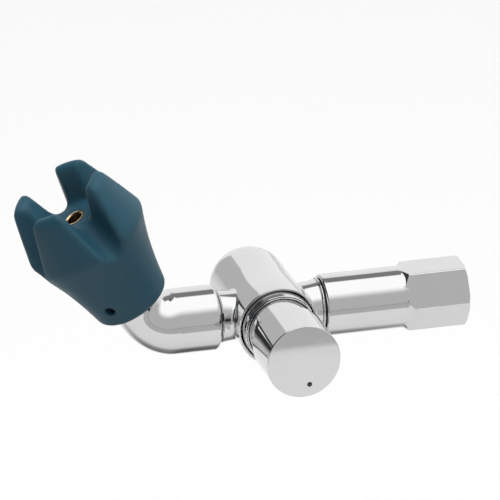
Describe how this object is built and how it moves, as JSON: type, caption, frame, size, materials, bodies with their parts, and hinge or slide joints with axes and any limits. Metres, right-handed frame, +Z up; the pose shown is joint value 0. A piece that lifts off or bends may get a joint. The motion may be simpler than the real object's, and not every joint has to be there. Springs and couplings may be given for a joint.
{
  "type": "drinking fountain bubbler",
  "caption": "Push-button self-closing drinking fountain bubbler with a hexagon female inlet, a bent spout and a rubber mouthguard round its nozzle.",
  "frame": {"origin": "centre of the mouth of the female inlet thread", "axes": "+X out of the inlet mouth along the inlet, -Y out of the push button, +Z up"},
  "size_m": [0.1955, 0.1016, 0.0928],
  "materials": {
    "chrome": "polished chrome plate",
    "brass": "machined brass",
    "steel": "stainless steel",
    "black_rubber": "matt black rubber",
    "mouthguard_rubber": "satin teal-blue rubber",
    "white_plastic": "moulded acetal",
    "black_plastic": "moulded black plastic"
  },
  "bodies": {
    "fixed_valve": {"valve_body": "chrome", "valve_seat": "steel", "inlet_pipe": "chrome", "inlet_seal_ring": "black_rubber", "inlet_spigot_seals": "black_rubber", "strainer_washer": "black_rubber", "strainer_screen": "steel", "bezel_nut": "chrome", "cartridge_housing": "brass", "housing_seal": "black_rubber", "stem_guide_bush": "white_plastic", "stem_seal": "black_rubber", "gland_ring": "steel", "spout_thrust_washer": "black_plastic", "spout_spigot_seals": "black_rubber", "flow_regulator": "white_plastic", "regulator_ring": "black_rubber"},
    "push_button": {"push_cap": "chrome", "button_skirt": "chrome", "button_carrier": "brass", "stroke_screw": "steel", "stem": "steel", "stem_nut": "brass", "delay_piston": "white_plastic", "lip_seal": "black_rubber", "piston_circlip": "steel", "valve_washer": "black_rubber", "washer_holder": "brass", "washer_nut": "brass", "return_spring": "steel"},
    "swing_spout": {"spout_elbow": "chrome", "spout_retaining_screw": "steel", "mouthguard": "mouthguard_rubber", "mouthguard_core": "brass", "mouthguard_screw": "steel", "nozzle": "brass", "nozzle_seal": "black_rubber"}
  },
  "joints": [
    {"name": "button_push", "type": "slide", "parent": "fixed_valve", "child": "push_button", "axis": [0, 1, 0], "range_m": [0, 0.01], "stiffness_N_per_m": 1100, "springref_m": -0.0076, "deforming": ["return_spring"]},
    {"name": "spout_swing", "type": "hinge", "parent": "fixed_valve", "child": "swing_spout", "pos_m": [-0.086, 0, 0], "axis": [1, 0, 0], "range_deg": [-45, 45]}
  ]
}
